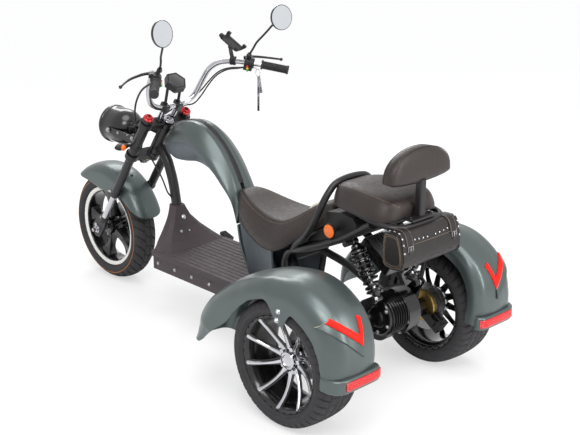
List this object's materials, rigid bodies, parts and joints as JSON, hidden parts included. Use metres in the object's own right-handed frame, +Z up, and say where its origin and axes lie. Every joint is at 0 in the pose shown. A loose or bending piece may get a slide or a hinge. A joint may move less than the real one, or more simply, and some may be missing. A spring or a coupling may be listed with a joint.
{
  "type": "electric trike",
  "caption": "Chopper-style electric trike with a raked fork, foot deck, stepped seat with backrest, finned rear drive and wide rear tyres under crowned fenders.",
  "frame": {"origin": "centre of the bounding box at the ground", "axes": "+X forward to the front wheel, +Y to the rider's left, +Z up"},
  "size_m": [2.0857, 0.952, 1.2723],
  "materials": {
    "black_frame": "satin black",
    "deck_plastic": "matte",
    "black_plastic": "matte",
    "body_paint": "satin metallic",
    "seat_leather": "padded leatherette",
    "amber": "gloss",
    "red_lens": "gloss",
    "alloy": "cast and polished",
    "black_metal": "gloss black",
    "chrome": "polished",
    "steel": "brushed",
    "fork_black": "satin black",
    "red_metal": "gloss",
    "grip_rubber": "ribbed",
    "display_glass": "gloss",
    "lamp_glass": "clear",
    "tyre": "black rubber",
    "cable_black": "satin"
  },
  "bodies": {
    "chassis": {"frame_rails": "black_frame", "head_tube": "black_frame", "down_tube": "black_frame", "deck_box": "deck_plastic", "deck_cover": "deck_plastic", "front_tongue": "black_frame", "brake_pedal": "black_plastic", "body_shell": "body_paint", "spine_strip": "black_plastic", "side_panels": "body_paint", "rider_seat": "seat_leather", "passenger_seat": "seat_leather", "tail_shroud": "black_plastic", "side_reflectors": "amber", "grab_hoop": "black_frame", "rear_rack": "black_frame", "backrest_post": "black_frame", "backrest_pad": "seat_leather", "tool_bag": "seat_leather", "rear_fender_left": "body_paint", "rear_fender_right": "body_paint", "fender_stays": "black_frame", "tail_lamps": "red_lens", "v_reflectors": "red_lens", "swing_arm": "black_frame", "rear_axle": "alloy", "motor": "alloy", "shock_absorbers": "black_metal", "finned_box": "black_metal", "rear_calipers": "black_metal", "frame_cables": "cable_black"},
    "steering": {"fork_clamps": "black_frame", "fork_legs": "fork_black", "fork_sliders": "chrome", "fork_caps": "red_metal", "axle_brackets": "black_frame", "front_axle": "chrome", "front_caliper": "black_metal", "handlebar": "chrome", "grips": "grip_rubber", "controls": "black_plastic", "mirrors": "chrome", "display": "display_glass", "phone_holder": "black_plastic", "headlight": "black_plastic", "headlight_lens": "lamp_glass", "lamp_bracket": "black_frame", "turn_signals": "black_plastic", "horn": "black_plastic", "front_fender": "body_paint", "steering_cables": "cable_black"},
    "front_wheel": {"front_tyre": "tyre", "front_rim": "black_metal", "front_brake_disc": "steel"},
    "rear_wheel_left": {"rear_tyre_left": "tyre", "rear_rim_left": "alloy", "rear_hub_left": "alloy"},
    "rear_wheel_right": {"rear_tyre_right": "tyre", "rear_rim_right": "alloy", "rear_hub_right": "alloy"}
  },
  "joints": [
    {"name": "steering", "type": "hinge", "parent": "chassis", "child": "steering", "pos_m": [0.453, 0, 0.7], "axis": [-0.5678, 0, 0.8231], "range_deg": [-30, 30]},
    {"name": "front_wheel_spin", "type": "hinge", "parent": "steering", "child": "front_wheel", "pos_m": [0.8, 0, 0.243], "axis": [0, 1, 0], "continuous": true},
    {"name": "rear_wheel_left_spin", "type": "hinge", "parent": "chassis", "child": "rear_wheel_left", "pos_m": [-0.739, 0.368, 0.229], "axis": [0, 1, 0], "continuous": true},
    {"name": "rear_wheel_right_spin", "type": "hinge", "parent": "chassis", "child": "rear_wheel_right", "pos_m": [-0.739, -0.368, 0.229], "axis": [0, 1, 0], "continuous": true}
  ]
}
